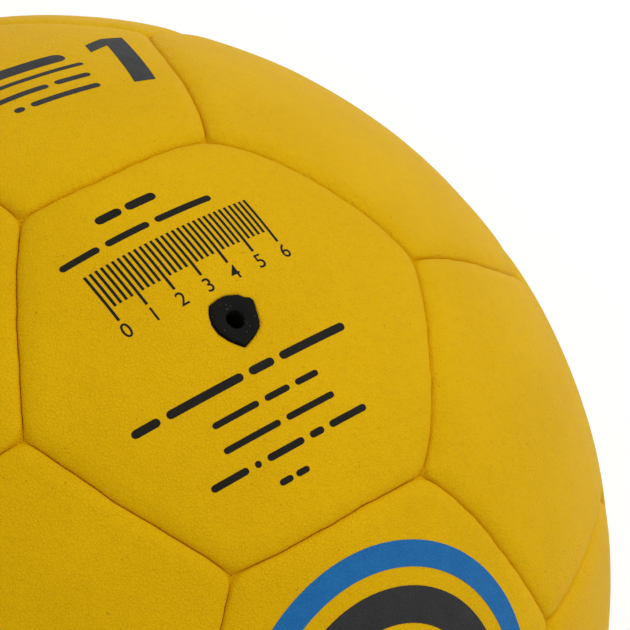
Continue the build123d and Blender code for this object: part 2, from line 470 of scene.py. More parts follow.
def seam_corners():
    """The 60 ways to where three panels meet. Those that the photograph shows are where it has them."""
    corners = []
    for near, far in permutations(pentagon_axes(), 2):
        if near @ far > NEIGHBOUR_COSINE:
            corners.append(unit(2 * near + far))
    even = np.array(corners)
    corners = even.copy()
    rows = {}
    for name, pixel in SEAM_MEETINGS.items():
        seen = in_groove(pixel)
        if name == SHALLOW_FROM:
            seen = unit(seen - RIM_TUCK * unit(np.array(CAMERA_PLACE)))
        rows[name] = int(np.argmax(even @ seen))
        corners[rows[name]] = seen
    return settle(corners, even, list(rows.values())), rows


def settle(corners, even, seen):
    """Eases the corners that the photograph doesn't show, so that their seams keep about the even length."""
    near = np.argsort(-(even @ even.T), axis=1)[:, 1:4]
    length = np.linalg.norm(even[near[0, 0]] - even[0])
    free = np.setdiff1d(np.arange(len(corners)), seen)
    for _ in range(SETTLE_STEPS):
        gaps = corners[near] - corners[:, None]
        stretch_share = 1 - length / np.linalg.norm(gaps, axis=-1, keepdims=True)
        eased = unit(corners + SETTLE_SHARE * (gaps * stretch_share).sum(axis=1))
        corners[free] = eased[free]
    return corners


CORNERS, MEETING_ROWS = seam_corners()


def seam_waves():
    """How each photographed seam bows off its great circle, as heights of one, two and three half waves."""
    waves = {}
    for ends, pixels in SEAM_WAYS.items():
        low, high = sorted(MEETING_ROWS[end] for end in ends)
        across = unit(np.cross(CORNERS[low], CORNERS[high]))
        forward = np.cross(across, CORNERS[low])
        whole = atan2(CORNERS[high] @ forward, CORNERS[high] @ CORNERS[low])
        spots = [in_groove(pixel) for pixel in pixels]
        shares = np.array([atan2(spot @ forward, spot @ CORNERS[low]) / whole for spot in spots])
        off = BALL_RADIUS * np.arcsin(np.array(spots) @ across)
        waves[low, high] = np.linalg.solve(np.sin(pi * np.outer(shares, HALF_WAVES)), off)
    return waves


SEAM_WAVES = seam_waves()


def seam_phase(low, high):
    """An angle of its own for each seam, so that no two seams lie alike."""
    count = len(CORNERS)
    return (low * LOW_STRIDE + high * HIGH_STRIDE) % count / count * 2 * pi


def seam_pull(first, second):
    """How deep the stitches draw a seam in, as a share of the usual depth."""
    low, high = sorted((int(first), int(second)))
    if MEETING_ROWS[SHALLOW_FROM] in (low, high) and (low, high) not in SEAM_WAVES:
        return SHALLOW_SHARE
    return 1 + PULL_SPREAD * sin(PULL_TURNS * seam_phase(low, high))


def seam_bow(low, high, share):
    """How far each point of a seam lies off the great circle between its two corners."""
    phase = seam_phase(low, high)
    second_bow = SECOND_BOW_SHARE * np.cos(SECOND_BOW_TURNS * phase) * np.sin(2 * pi * share)
    bow = LOOSE_BOW * (np.sin(BOW_TURNS * phase) * np.sin(pi * share) + second_bow)
    for (first, second), heights in SEAM_WAVES.items():
        here = (low == first) & (high == second)
        bow[here] = np.sin(pi * np.outer(share[here], HALF_WAVES)) @ heights
    return bow


def side_count(node):
    return 5 if node.startswith("pentagon") else 6


def panel_corners(node):
    """The panel's corners as rows of CORNERS, clockwise as seen from outside."""
    axis = unit(points_of(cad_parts[node].data).mean(axis=0))
    nearest = np.argsort(-(CORNERS @ axis))[:side_count(node)]
    across = unit(np.cross(axis, CORNERS[nearest[0]]))
    up = np.cross(across, axis)
    turns = np.arctan2(CORNERS[nearest] @ across, CORNERS[nearest] @ up)
    return nearest[np.argsort(-turns)]


def arc(start, end, share):
    """Points at that share of the way along the great circles from start to end."""
    angle = np.arccos(np.clip((start * end).sum(axis=-1), -1, 1))[..., None]
    share = share[..., None]
    return (np.sin((1 - share) * angle) * start + np.sin(share * angle) * end) / np.sin(angle)


# Cover panels, shaped from flat blanks.

def fan_blank(sides, rows, folded=False):
    """A flat fan cut into rows, to copy for each panel of its shape. If folded, its rim is turned down."""
    blank = added(bpy.ops.mesh.primitive_circle_add, vertices=sides, radius=1, fill_type="TRIFAN")
    edit("SELECT")
    bpy.ops.mesh.subdivide(number_cuts=rows - 1)
    bpy.ops.mesh.select_all(action="DESELECT")
    if folded:
        bpy.ops.mesh.select_non_manifold(extend=False)
        bpy.ops.mesh.extrude_edges_move(TRANSFORM_OT_translate={"value": (0, 0, -BLANK_FOLD)})
    leave_edit()
    return blank


def fan_places(flat, sides):
    """Each point's turn round a flat fan, its side, and its shares of the way out and along that side."""
    step = 2 * pi / sides
    turn = np.arctan2(flat[:, 0], flat[:, 1]) % (2 * pi)
    side = np.minimum((turn / step + TURN_SLACK).astype(int), sides - 1)
    lean = turn - (side + 0.5) * step
    reach = np.clip(np.hypot(flat[:, 0], flat[:, 1]) * np.cos(lean) / cos(step / 2), 0, 1)
    along = np.clip((np.tan(lean) / tan(step / 2) + 1) / 2, 0, 1)
    return turn, side, reach, along


def rim_way(turn, reach, radius):
    """The ways to the rim of a hole round the valve, at each turn from +X."""
    return unit(np.stack([reach * np.cos(turn), reach * np.sin(turn), np.full(len(turn), radius)], axis=-1))


def past_hole(reach, hole_reach):
    """Shares of the way from the hole's rim out, from shares of the way from the middle."""
    return np.clip((reach - hole_reach) / (1 - hole_reach), 0, 1)


def neck_edge():
    """The corners of the trimmed edge on the neck's top, and their turns from +X, in order of turn."""
    spots = []
    for pixel in NECK_EDGE:
        ray = photo_ray(pixel)
        spot = CAMERA_PLACE + ray * ((NECK_TOP - CAMERA_PLACE.z) / ray.z)
        spots.append((spot.x, spot.y))
    spots = np.array(spots)
    turns = np.arctan2(spots[:, 1], spots[:, 0])
    order = np.argsort(turns)
    return spots[order], turns[order]


EDGE_SPOTS, EDGE_TURNS = neck_edge()


def cut_reach(turn):
    """How far the straight cuts between those corners are from the bore at each turn from +X."""
    turn = (turn + pi) % (2 * pi) - pi
    after = np.searchsorted(EDGE_TURNS, turn) % len(EDGE_TURNS)
    start = EDGE_SPOTS[after - 1]
    cut = EDGE_SPOTS[after] - start
    twist = start[:, 0] * cut[:, 1] - start[:, 1] * cut[:, 0]
    return twist / (np.cos(turn) * cut[:, 1] - np.sin(turn) * cut[:, 0])


def neck_reach(turn):
    """How far the trimmed neck reaches from the bore at each turn from +X, its corners a little blunt."""
    steps = np.radians((-NECK_BLUNT, 0, NECK_BLUNT))
    return sum(cut_reach(turn + step) for step in steps) / len(steps)


def rounding(near, radius):
    """How far a rounded edge of that radius drops, by nearness to it from 0 to 1."""
    return radius * (1 - np.sqrt(1 - near * near))


def shoulder_drop(distance, rows):
    """How far the rounded shoulders along all the sides lower a panel, more where two of them meet."""
    merged = -CORNER_EASE * np.log(np.exp(-distance / CORNER_EASE).sum(axis=1))
    edge = rounding(np.clip(1 - merged / EDGE_RADIUS, 0, 1), EDGE_RADIUS)
    pulls = [seam_pull(first, second) for first, second in zip(rows, np.roll(rows, -1))]
    slope = np.clip(1 - distance / SHOULDER_WIDTH, 0, 1) ** SHOULDER_POWER * pulls
    return edge + SHOULDER_DEPTH * np.sqrt((slope ** 2).sum(axis=1))


def stitch_pull(own, along, run, length, phase):
    """How stitches pull the cover near a seam down, and to and fro, the same way on both sides of it."""
    ends = np.sin(pi * along) ** STITCH_END_POWER
    tight = 0.5 + 0.5 * np.cos(2 * pi * (run - length / 2) / STITCH_PITCH)
    pucker = PUCKER_DEPTH * tight * ends * np.exp(-(own / PUCKER_REACH) ** 2)
    sway = np.sin(2 * pi * run / SLOW_SWAY_PITCH + phase)
    sway = sway + QUICK_SWAY_SHARE * np.sin(2 * pi * run / STITCH_PITCH + 2 * phase)
    return pucker, SEAM_SWAY * sway * ends * np.exp(-own / SEAM_SWAY_REACH)


def panel_swell(way):
    """The unevenness of the cover: a broad swell and a finer one."""
    broad = np.array([noise.noise(Vector(w * BALL_RADIUS / SWELL_SIZE)) for w in way])
    fine_size = FINE_SWELL_SHARE * SWELL_SIZE
    fine = np.array([noise.noise(Vector(w * BALL_RADIUS / fine_size + FINE_SWELL_SHIFT)) for w in way])
    return SWELL_HEIGHT * (broad + FINE_SWELL_SHARE * fine)


def shape_panel(blank, node, hole=False):
    """Bends a copy of a flat blank into a panel of the cover, its rim folded in along the seams."""
    rows = panel_corners(node)
    sides = len(rows)
    corners = CORNERS[rows]
    axis = VALVE_WAY if hole else unit(corners.mean(axis=0))
    panel = copy_of(blank, node.replace("panel", "cover"))
    flat = points_of(panel.data)
    turn, side, reach, along = fan_places(flat, sides)
    edge = arc(corners[side], corners[(side + 1) % sides], along)
    if hole:
        share = past_hole(reach, HOLE_REACH)
        out = share * share * (3 - 2 * share)
        rim_turn = np.arctan2(edge[:, 1], edge[:, 0])
        inner = rim_way(rim_turn, neck_reach(rim_turn) + NECK_GAP, BALL_RADIUS)
    else:
        out = 1 - (1 - reach) ** 2
        inner = np.broadcast_to(axis, edge.shape)
    way = arc(inner, edge, out)

    # How far each point is from every seam round the panel, and from its own.
    walls = np.cross(corners, np.roll(corners, -1, axis=0))
    walls = unit(walls) * np.sign(walls @ axis)[:, None]
    distance = BALL_RADIUS * np.arcsin(np.clip(way @ walls.T, 0, 1))
    own = distance[np.arange(len(way)), side]

    # Both panels at a seam count along it from its lower row.
    first, second = rows[side], rows[(side + 1) % sides]
    low, high = np.minimum(first, second), np.maximum(first, second)
    share = np.where(first < second, along, 1 - along)
    length = BALL_RADIUS * np.arccos(np.clip((CORNERS[first] * CORNERS[second]).sum(axis=-1), -1, 1))
    pucker, sway = stitch_pull(own, along, share * length, length, seam_phase(low, high))
    bow = seam_bow(low, high, share) * np.exp(-(own / BOW_REACH) ** 2)

    height = BALL_RADIUS + PANEL_STAND - PANEL_CROWN * out * out - shoulder_drop(distance, rows) - pucker
    height = height + panel_swell(way) * np.clip(own / SHOULDER_WIDTH, 0, 1)
    if hole:
        from_rim = np.linalg.norm(way - inner, axis=1) * BALL_RADIUS
        height = height - rounding(np.clip(1 - from_rim / HOLE_EASE, 0, 1), HOLE_EASE)
    height = np.where(flat[:, 2] < -BLANK_FOLD / 2, BALL_RADIUS - FOLD_DEPTH, height)

    across = unit(np.cross(CORNERS[low], CORNERS[high]))
    moved = unit(way + across * (bow / BALL_RADIUS)[:, None])
    parting = np.exp(-(distance / SEAM_GAP_REACH) ** 2)
    place = moved * height[:, None] + across * sway[:, None]
    place = place + SEAM_GAP / 2 * (parting[:, :, None] * walls[None]).sum(axis=1)
    set_points(panel.data, place)

    note_seams(panel.data, sides, turn, side, distance, length)
    if hole:
        open_hole(panel, reach < HOLE_REACH - HOLE_SLACK)
    thicken(panel, COVER_THICKNESS)
    bpy.ops.object.shade_smooth()
    return panel


def note_seams(mesh, sides, turn, side, distance, length):
    """Keeps at each face corner how far along its seam and how far from it the cover is, in mm."""
    step = 2 * pi / sides
    loops = len(mesh.loops)
    spots = np.empty(loops, dtype=int)
    mesh.loops.foreach_get("vertex_index", spots)
    totals = np.empty(len(mesh.polygons), dtype=int)
    mesh.polygons.foreach_get("loop_total", totals)
    face = np.repeat(np.arange(len(totals)), totals)
    sine = np.bincount(face, np.sin(turn[spots])) / totals
    cosine = np.bincount(face, np.cos(turn[spots])) / totals
    middle = np.arctan2(sine, cosine) % (2 * pi)
    sector = np.minimum((middle / step).astype(int), sides - 1)[face]
    lean = (turn[spots] - (sector + 0.5) * step + pi) % (2 * pi) - pi
    along = np.clip((np.tan(np.clip(lean, -step / 2, step / 2)) / tan(step / 2) + 1) / 2, 0, 1)
    side_length = np.array([length[side == k][0] for k in range(sides)])
    place = np.zeros((loops, 3))
    place[:, 0] = along * side_length[sector] / MM + sector * SIDE_STRIDE
    place[:, 1] = distance[spots, sector] / MM
    place[:, 2] = distance[spots].min(axis=1) / MM
    kept = mesh.attributes.new("seam_place", "FLOAT_VECTOR", "CORNER")
    kept.data.foreach_set("vector", place.ravel())


def add_cover(material):
    """All the cover's panels, by the name of the solid that each stands for."""
    blanks = {sides: fan_blank(sides, PANEL_ROWS, folded=True) for sides in (6, 5)}
    panels = {}
    for node in sorted(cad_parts):
        if "panel" not in node or "lining" in node:
            continue
        panel = shape_panel(blanks[side_count(node)], node, hole=node == "valve_panel")
        enrol(panel, material, node)
        panels[node] = panel
    for blank in blanks.values():
        bpy.data.objects.remove(blank)
    return panels


# The valve body, and other pieces turned round the bore.

def lathe(name, points, rings, closed=False):
    """A ring drawn up into a stack, each ring at its reach and height. A closed stack's ends are joined."""
    piece = added(bpy.ops.mesh.primitive_circle_add, vertices=points, radius=1)
    piece.name = piece.data.name = name
    edit("SELECT")
    for _ in rings[1:]:
        bpy.ops.mesh.extrude_edges_move(TRANSFORM_OT_translate={"value": (0, 0, 1)})
    if closed:
        bpy.ops.mesh.select_all(action="DESELECT")
        bpy.ops.mesh.select_non_manifold(extend=False)
        bpy.ops.mesh.bridge_edge_loops()
    leave_edit()
    stack = points_of(piece.data)
    layer = np.rint(stack[:, 2]).astype(int)
    spot = np.rint(np.arctan2(stack[:, 1], stack[:, 0]) / (2 * pi) * points).astype(int) % points
    turn = turns_round(points)[spot]
    reach = np.array([reach * np.ones(points) for reach, _ in rings])[layer, spot]
    height = np.array([height * np.ones(points) for _, height in rings])[layer, spot]
    set_points(piece.data, np.stack([reach * np.cos(turn), reach * np.sin(turn), height], axis=-1))
    turn_faces_out(piece)
    return piece


def turns_round(points):
    return np.linspace(0, 2 * pi, points, endpoint=False)


def noise_round(turn, waves):
    """Unevenness round a ring."""
    return np.array([noise.noise(Vector((cos(t), sin(t), 0)) * waves) for t in turn])


def layer_ring(radius, reach):
    """A ring of that reach on a layer of that radius."""
    return reach, np.sqrt(radius ** 2 - reach ** 2)


def valve_rings():
    """The valve's profile as rings of reach and height, from the core's seat out, up and down the bore."""
    turn = turns_round(NECK_POINTS)
    neck = neck_reach(turn)
    uneven = NECK_UNEVEN * noise_round(turn, NECK_WAVES)
    flange_rim = FLANGE_REACH - FLANGE_EASE
    flange_middle = (BOSS_RADIUS + FLANGE_REACH) / 2
    under = FLANGE_UNDERSIDE
    over = FLANGE_RADIUS
    return [
        (CORE_SEAT, BORE_BOTTOM),
        (CORE_SEAT, BOSS_BOTTOM),
        (BOSS_RADIUS - BOSS_EDGE, BOSS_BOTTOM),
        (BOSS_RADIUS - BOSS_ROUND, BOSS_BOTTOM + BOSS_ROUND),
        (BOSS_RADIUS, BOSS_BOTTOM + BOSS_EDGE),
        layer_ring(under, BOSS_RADIUS),
        layer_ring(under, flange_middle),
        layer_ring(under, flange_rim),
        (FLANGE_REACH, FLANGE_RIM_HEIGHT),
        layer_ring(over, flange_rim),
        layer_ring(over, flange_middle),
        layer_ring(over, COLUMN_RADIUS),
        (COLUMN_RADIUS, COLUMN_TOP),
        (neck, COLUMN_TOP),
        (neck, NECK_TOP - NECK_EASE + uneven),
        (neck - NECK_ROUND, NECK_TOP - NECK_ROUND + uneven),
        (neck - NECK_EASE, NECK_TOP + uneven),
        (TOP_RING_SHARE * neck + (1 - TOP_RING_SHARE) * BORE_RADIUS, NECK_TOP - TOP_RING_DIP + uneven / 2),
        *((BORE_RADIUS + past * MM, NECK_TOP - depth * MM) for past, depth in BORE_MOUTH),
        (BORE_RADIUS, BORE_BOTTOM),
    ]


def add_valve(material):
    valve = lathe("trimmed_valve", NECK_POINTS, valve_rings(), closed=True)
    smooth_by_angle()
    enrol(valve, material, "valve_body")


# Inside the cover: cloth linings, seam threads, bladder and valve patch.

def shape_lining(blank, node, hole=False):
    """A cloth panel behind a cover panel, inside its turned-in edges."""
    corners = CORNERS[panel_corners(node)]
    sides = len(corners)
    axis = VALVE_WAY if hole else unit(corners.mean(axis=0))
    lining = copy_of(blank, node + "_lining")
    _, side, reach, along = fan_places(points_of(lining.data), sides)
    edge = arc(corners[side], corners[(side + 1) % sides], along)
    middle = unit(corners[0] + corners[1])
    inset = 1 - LINING_INSET / (BALL_RADIUS * np.arccos(middle @ axis))
    start = np.broadcast_to(axis, edge.shape)
    edge = arc(start, edge, np.full(len(edge), inset))
    share = reach
    if hole:
        share = past_hole(reach, LINING_HOLE_REACH)
        start = rim_way(np.arctan2(edge[:, 1], edge[:, 0]), COLUMN_HOLE, LINING_RADIUS)
    set_points(lining.data, arc(start, edge, share) * LINING_RADIUS)
    if hole:
        open_hole(lining, reach < LINING_HOLE_REACH - HOLE_SLACK)
    return lining


def add_linings(panels, material):
    """One piece of cloth for each node of linings."""
    blanks = {sides: fan_blank(sides, LINING_ROWS) for sides in (5, 6)}
    sets = {"valve_panel_lining": [], "hexagon_linings": [], "pentagon_linings": []}
    for node in panels:
        kind = node.split("_")[0]
        lining = shape_lining(blanks[side_count(node)], node, hole=kind == "valve")
        sets["valve_panel_lining" if kind == "valve" else kind + "_linings"].append(lining)
    for node, linings in sets.items():
        cloth = join(linings, "cloth_" + node)
        thicken(cloth, LINING_THICKNESS)
        smooth_by_angle()
        enrol(cloth, material, node)
    for blank in blanks.values():
        bpy.data.objects.remove(blank)


def stitch_places(low, high):
    """One seam's running stitch, to and fro through the turned-in edges at every hole, and its two tails."""
    start, end = CORNERS[low], CORNERS[high]
    span = THREAD_CIRCLE * float(np.arccos(start @ end))
    margin = STITCH_MARGIN / span
    tail = THREAD_TAIL / span
    holes = np.linspace(margin, 1 - margin, STITCH_HOLES)
    shares = np.concatenate([[holes[0] - tail], np.repeat(holes, 2), [holes[-1] + tail]])
    count = len(shares)
    sides = np.array([1] + [1, -1, -1, 1] * STITCH_HOLES)[:count]
    bow = seam_bow(np.full(count, low), np.full(count, high), shares)
    across = unit(np.cross(start, end))
    way = arc(np.broadcast_to(start, (count, 3)), np.broadcast_to(end, (count, 3)), shares)
    way = unit(way + across * (bow / BALL_RADIUS)[:, None])
    return way * THREAD_CIRCLE + across * (sides * THREAD_SIDE)[:, None]


def add_thread(name, node, seams, material):
    """One node's threads, each a round curve along its seam."""
    route = bpy.data.curves.new(name, "CURVE")
    route.dimensions = "3D"
    route.bevel_depth = THREAD_RADIUS
    route.bevel_resolution = 1
    route.resolution_u = 4
    route.use_fill_caps = True
    for low, high in seams:
        places = stitch_places(low, high)
        line = route.splines.new("NURBS")
        line.points.add(len(places) - 1)
        for point, place in zip(line.points, places):
            point.co = (*place, 1)
        line.order_u = 3
        line.use_endpoint_u = True
    thread = bpy.data.objects.new(name, route)
    bpy.context.scene.collection.objects.link(thread)
    take(thread)
    bpy.ops.object.convert(target="MESH")
    thread = bpy.context.active_object
    edit("SELECT")
    bpy.ops.mesh.remove_doubles(threshold=THREAD_WELD)
    turn_faces_out(thread)
    bpy.ops.object.shade_smooth()
    enrol(thread, material, node)


def add_threads(panels, material):
    """The threads of the seams round the pentagons, and those of the seams between two hexagons."""
    pentagon_pairs = set()
    every_pair = set()
    for node in panels:
        rows = [int(row) for row in panel_corners(node)]
        pairs = {tuple(sorted(pair)) for pair in zip(rows, rows[1:] + rows[:1])}
        every_pair |= pairs
        if side_count(node) == 5:
            pentagon_pairs |= pairs
    add_thread("sewn_pentagon_threads", "pentagon_seam_threads", sorted(pentagon_pairs), material)
    add_thread("sewn_hexagon_threads", "hexagon_seam_threads", sorted(every_pair - pentagon_pairs), material)


def add_bladder(material):
    """A thin rubber sphere, open round the valve's boss, and never quite even."""
    bladder = added(bpy.ops.mesh.primitive_uv_sphere_add, segments=ROUND_POINTS,
                    ring_count=ROUND_POINTS // 2, radius=BLADDER_RADIUS)
    bladder.name = bladder.data.name = "rubber_bladder"
    spots = points_of(bladder.data)
    open_hole(bladder, (spots[:, 2] > 0) & (np.hypot(spots[:, 0], spots[:, 1]) < BOSS_HOLE / 2))
    spots = points_of(bladder.data)
    reach = np.hypot(spots[:, 0], spots[:, 1])
    rim = (spots[:, 2] > 0) & (reach < BOSS_HOLE)
    spots[rim, :2] *= (BOSS_HOLE / reach[rim])[:, None]
    uneven = np.array([noise.noise(Vector(spot) / BLADDER_SAG_SIZE) for spot in spots])
    sag = BLADDER_SAG * (uneven - 1) * np.clip(reach / BLADDER_BOND_REACH, 0, 1)
    set_points(bladder.data, unit(spots) * (BLADDER_RADIUS + sag)[:, None])
    thicken(bladder, BLADDER_THICKNESS)
    smooth_by_angle()
    enrol(bladder, material, "bladder")


def add_patch(material):
    """A cloth disc round the valve's column, its edge a little frayed."""
    frayed = FRAY_DEPTH * (1 + noise_round(turns_round(ROUND_POINTS), FRAY_WAVES))
    rings = []
    for share in np.linspace(0, 1, PATCH_RINGS):
        reach = COLUMN_HOLE + share * (PATCH_REACH - COLUMN_HOLE) - frayed * share ** FRAY_POWER
        rings.append(layer_ring(PATCH_RADIUS, reach))
    patch = lathe("cloth_valve_patch", ROUND_POINTS, rings)
    if patch.data.polygons[0].normal.z < 0:
        patch.data.flip_normals()
    thicken(patch, PATCH_THICKNESS)
    smooth_by_angle()
    enrol(patch, material, "valve_patch")


# Printed marks.

def flat_bar(left, low, width, height, rise=0.0, lean=0.0, rounded=False):
    """A flat bar, cut finely to follow the ball. Rise tilts it, lean slants it, rounded turns its ends."""
    columns = max(2, round(width / MARK_STEP))
    rows = ROUNDED_ROWS if rounded else max(2, round(height / MARK_STEP))
    bar = added(bpy.ops.mesh.primitive_grid_add, x_subdivisions=columns, y_subdivisions=rows, size=1)
    spots = points_of(bar.data)
    inset = height / 2 * (1 - np.sqrt(1 - 4 * spots[:, 1] ** 2 * ROUNDED_SHARE)) if rounded else 0
    x = left + inset + (spots[:, 0] + 0.5) * (width - 2 * inset)
    y = low + (spots[:, 1] + 0.5) * height + rise * (x - left)
    set_points(bar.data, np.stack([x + lean * y, y, np.zeros(len(x))], axis=-1))
    return bar


def dash_rows(rows):
    dashes = []
    for low, height, left, gap, widths in rows:
        for width in widths:
            dashes.append(flat_bar(left, low, width, height, rounded=True))
            left += width + gap
    return dashes


def flat_ring(radius, width):
    """A flat ring, drawn from a circle outwards."""
    ring = added(bpy.ops.mesh.primitive_circle_add, vertices=RING_POINTS, radius=radius)
    edit("SELECT")
    steps = max(2, round(width / MARK_STEP))
    reach = radius
    for _ in range(steps):
        share = (reach + width / steps) / reach
        bpy.ops.mesh.extrude_edges_move()
        bpy.ops.transform.resize(value=(share, share, 1), center_override=(0, 0, 0))
        reach *= share
    turn_faces_out(ring)
    return ring


def flat_number(number, middle, low, height):
    """A plain number, made a mesh."""
    figure = added(bpy.ops.object.text_add)
    figure.data.body = str(number)
    figure.data.size = height / FIGURE_SHARE
    figure.data.align_x = "CENTER"
    figure.data.offset = FIGURE_OFFSET
    figure.data.resolution_u = 6
    bpy.ops.object.convert(target="MESH")
    figure = bpy.context.active_object
    set_points(figure.data, points_of(figure.data) + np.array([middle, low, 0.0]))
    return figure


def lay_print(name, bars, panels, line, ink):
    """Joins flat marks, and lays them on the cover from one photo pixel towards another as a film of ink."""
    mark = join(bars, name)
    flat = points_of(mark.data) * MM
    start, heading = (on_ball(pixel, BALL_RADIUS) for pixel in line)
    out = start.normalized()
    across = heading - start
    across = (across - across.dot(out) * out).normalized()
    up = out.cross(across)
    reach = np.hypot(flat[:, 0], flat[:, 1])
    bend = np.sinc(reach / BALL_RADIUS / pi)[:, None] / BALL_RADIUS
    way = np.cos(reach / BALL_RADIUS)[:, None] * np.array(out)
    way = way + bend * (flat[:, :1] * np.array(across) + flat[:, 1:2] * np.array(up))
    set_points(mark.data, unit(way) * (BALL_RADIUS + MARK_START))
    take(mark)
    wrap = mark.modifiers.new("laid_on_cover", "SHRINKWRAP")
    wrap.target = panel_at(panels, line[0])
    wrap.wrap_method = "NEAREST_SURFACEPOINT"
    wrap.wrap_mode = "ABOVE_SURFACE"
    wrap.offset = MARK_STAND
    bpy.ops.object.modifier_apply(modifier=wrap.name)
    thicken(mark, MARK_FILM)
    smooth_by_angle()
    enrol(mark, ink)


def scale_marks():
    marks = []
    for tick in range(TICKS):
        tall = LONG_TICK if tick % LONG_TICK_EVERY == 0 else SHORT_TICK
        marks.append(flat_bar(tick * TICK_STEP - TICK_WIDTH / 2, -tall, TICK_WIDTH, tall))
    for tick in range(0, TICKS, LONG_TICK_EVERY):
        marks.append(flat_number(tick // LONG_TICK_EVERY, tick * TICK_STEP, FIGURE_LOW, FIGURE_HEIGHT))
    return marks


def size_marks():
    marks = [flat_bar(*NUMERAL_STEM, lean=NUMERAL_LEAN)]
    marks.append(flat_bar(*NUMERAL_FLAG, rise=FLAG_RISE, lean=NUMERAL_LEAN))
    marks += [flat_bar(*rule, rounded=True) for rule in SIZE_RULES]
    return marks + dash_rows(SIZE_DASHES)


def panel_at(panels, pixel):
    """The panel that the photograph shows at that pixel."""
    spot = np.array(on_ball(pixel, BALL_RADIUS).normalized())
    return max(panels.values(), key=lambda panel: (unit(points_of(panel.data)) @ spot).max())


def add_prints(panels, grain):
    black = ink_material("black_ink", BLACK_TONES, grain)
    charcoal = ink_material("charcoal_ink", CHARCOAL_TONES, grain)
    blue = ink_material("blue_ink", BLUE_TONES, grain)
    lay_print("valve_scale", scale_marks(), panels, SCALE_LINE, black)
    lay_print("upper_dashes", dash_rows(UPPER_DASHES), panels, UPPER_LINE, black)
    lay_print("lower_dashes", dash_rows(LOWER_DASHES), panels, LOWER_LINE, black)
    lay_print("size_marks", size_marks(), panels, SIZE_LINE, charcoal)
    lay_print("outer_ring", [flat_ring(*OUTER_RING)], panels, RING_LINE, blue)
    lay_print("inner_ring", [flat_ring(*INNER_RING)], panels, RING_LINE, charcoal)


# Materials.

def srgb(colour):
    """A colour as seen on screen, 0 to 255, as the linear colour that a shader takes."""
    shares = [c / 255 for c in colour]
    return tuple(c / 12.92 if c <= 0.04045 else ((c + 0.055) / 1.055) ** 2.4 for c in shares) + (1.0,)


def fill(tree, node, values):
    """Links each value that another node puts out, and sets each that is a constant."""
    for key, value in values.items():
        if isinstance(value, bpy.types.NodeSocket):
            tree.links.new(value, node.inputs[key])
        else:
            node.inputs[key].default_value = value


def new_node(tree, kind, values, **settings):
    made = tree.nodes.new("ShaderNode" + kind)
    for key, value in settings.items():
        setattr(made, key, value)
    fill(tree, made, values)
    return made


def maths(tree, kind, first, second, third=0.5):
    return new_node(tree, "Math", {0: first, 1: second, 2: third}, operation=kind).outputs[0]


def stretch(tree, value, low, high, to_low=0.0, to_high=1.0):
    values = {"Value": value, "From Min": low, "From Max": high, "To Min": to_low, "To Max": to_high}
    return new_node(tree, "MapRange", values).outputs["Result"]


def blend(tree, share, first, second):
    """A mix of two colours, each put out by a node or given as seen on screen."""
    first, second = (srgb(tone) if isinstance(tone, tuple) else tone for tone in (first, second))
    return new_node(tree, "Mix", {0: share, 6: first, 7: second}, data_type="RGBA").outputs[2]


def clouds(tree, place, scale, detail=2.0, roughness=0.5):
    values = {"Vector": place, "Scale": scale, "Detail": detail, "Roughness": roughness}
    return new_node(tree, "TexNoise", values).outputs


def bump(tree, height, depth, under=None):
    values = {"Height": height, "Distance": depth, "Strength": 1.0}
    if under is not None:
        values["Normal"] = under
    return new_node(tree, "Bump", values).outputs["Normal"]


def in_mm(tree):
    place = tree.nodes.new("ShaderNodeTexCoord").outputs["Object"]
    return new_node(tree, "VectorMath", {0: place, 3: 1 / MM}, operation="SCALE").outputs[0]


def new_group(name, *outputs):
    """An empty node group, with its output node."""
    tree = bpy.data.node_groups.new(name, "ShaderNodeTree")
    for label in outputs:
        tree.interface.new_socket(label, in_out="OUTPUT", socket_type="NodeSocketFloat")
    return tree, tree.nodes.new("NodeGroupOutput")


def use_group(tree, group):
    return new_node(tree, "Group", {}, node_tree=group).outputs


def new_material(name):
    material = bpy.data.materials.new(name)
    material.use_nodes = True
    return material, material.node_tree, material.node_tree.nodes["Principled BSDF"]


def grain_group():
    """Pressed grain of a coated cover: small cells, fine pores, faint creases, and patches of tone. The
    crease and pore masks carry painted shade.
    """
    tree, put = new_group("pressed_grain", "Height", "CreaseShade", "PoreShade", "Patches")
    place = in_mm(tree)
    stray = clouds(tree, place, 1.1)["Color"]
    shift = new_node(tree, "VectorMath", {0: stray, 3: 0.5}, operation="SCALE").outputs[0]
    moved = new_node(tree, "VectorMath", {0: place, 1: shift}, operation="ADD").outputs[0]
    cells = new_node(tree, "TexVoronoi", {"Vector": moved, "Scale": 1 / GRAIN_CELL},
                     feature="DISTANCE_TO_EDGE").outputs["Distance"]
    tops = maths(tree, "SMOOTH_MIN", stretch(tree, cells, 0.0, 0.25), 0.9, 0.3)
    fine = clouds(tree, place, 3.2, 3.0, 0.6)["Fac"]
    wide = clouds(tree, place, 0.45)["Fac"]
    height = maths(tree, "MULTIPLY_ADD", fine, 0.8, maths(tree, "MULTIPLY", tops, 0.35))
    height = maths(tree, "MULTIPLY_ADD", wide, 0.9, height)
    broken = stretch(tree, clouds(tree, place, 0.9)["Fac"], 0.45, 0.62)
    creases = maths(tree, "MULTIPLY", stretch(tree, cells, 0.0, 0.09, 1.0, 0.0), broken)
    dots = new_node(tree, "TexVoronoi", {"Vector": moved, "Scale": 0.85}).outputs["Distance"]
    rare = stretch(tree, clouds(tree, place, 0.6)["Fac"], 0.52, 0.62)
    pores = maths(tree, "MULTIPLY", stretch(tree, dots, 0.10, 0.16, 1.0, 0.0), rare)
    patches = clouds(tree, place, 0.07, 3.0)["Fac"]
    fill(tree, put, {"Height": height, "CreaseShade": creases, "PoreShade": pores, "Patches": patches})
    return tree


